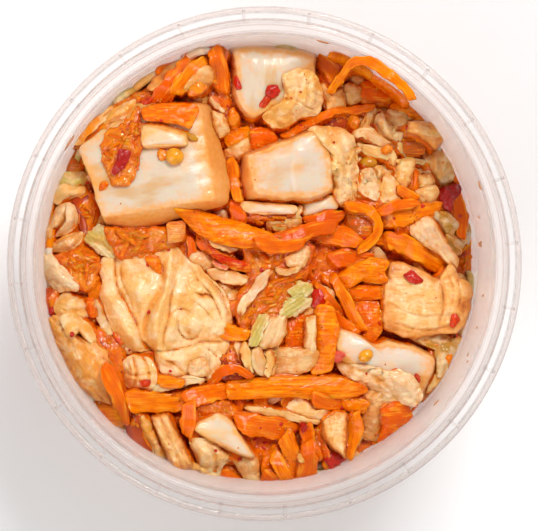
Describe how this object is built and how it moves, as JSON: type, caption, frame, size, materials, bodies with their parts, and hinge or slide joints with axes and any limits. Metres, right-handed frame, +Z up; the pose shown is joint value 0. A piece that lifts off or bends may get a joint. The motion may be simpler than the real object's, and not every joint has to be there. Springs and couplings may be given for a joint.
{
  "type": "kimchi in a round tub",
  "caption": "Kimchi of napa cabbage, carrot shreds, chilli flakes and mustard seeds heaped in a round clear plastic tub with an open mouth and a tear-off rim.",
  "frame": {"origin": "middle of the tub's base, on the surface it stands on", "axes": "+Z up out of the tub's mouth, +Y towards the heap's edge with the white stem and the arching carrot, +X towards its low side"},
  "size_m": [0.118, 0.118, 0.0671],
  "materials": {
    "tub_plastic": "clear, glossy, slightly milky",
    "pulp": "wet orange-red pulp and brine",
    "cabbage_stem": "wet, cream-white, translucent",
    "cabbage_leaf": "wet, crinkled, cream-yellow",
    "carrot": "wet, fibrous orange",
    "chilli": "glossy deep red",
    "mustard_seed": "satin golden yellow"
  },
  "bodies": {
    "root": {"tub": "tub_plastic", "kimchi_heap": "pulp", "stem_upper_right": "cabbage_stem", "leaf_fan_right": "cabbage_leaf", "stem_slab_lower_left": "cabbage_stem", "leaf_left": "cabbage_leaf", "stem_leaf_top": "cabbage_stem", "stem_slab_upper_left": "cabbage_stem", "stem_leaf_middle": "cabbage_stem", "stem_lobed_right": "cabbage_stem", "stem_frilled_lower_right": "cabbage_stem", "carrot_bar_middle": "carrot", "leaf_crumpled": "cabbage_leaf", "carrot_bar_lower": "carrot", "stem_stick_bottom": "cabbage_stem", "leaf_frill_bottom": "cabbage_leaf", "stem_wedge_bottom": "cabbage_stem", "stem_block_bottom": "cabbage_stem", "carrot_on_slab": "carrot", "stem_stick_on_slab": "cabbage_stem", "carrot_upper_right": "carrot", "carrot_lower_left": "carrot", "carrot_long_top": "carrot", "carrot_broad_right": "carrot", "carrot_arch": "carrot"}
  },
  "joints": []
}
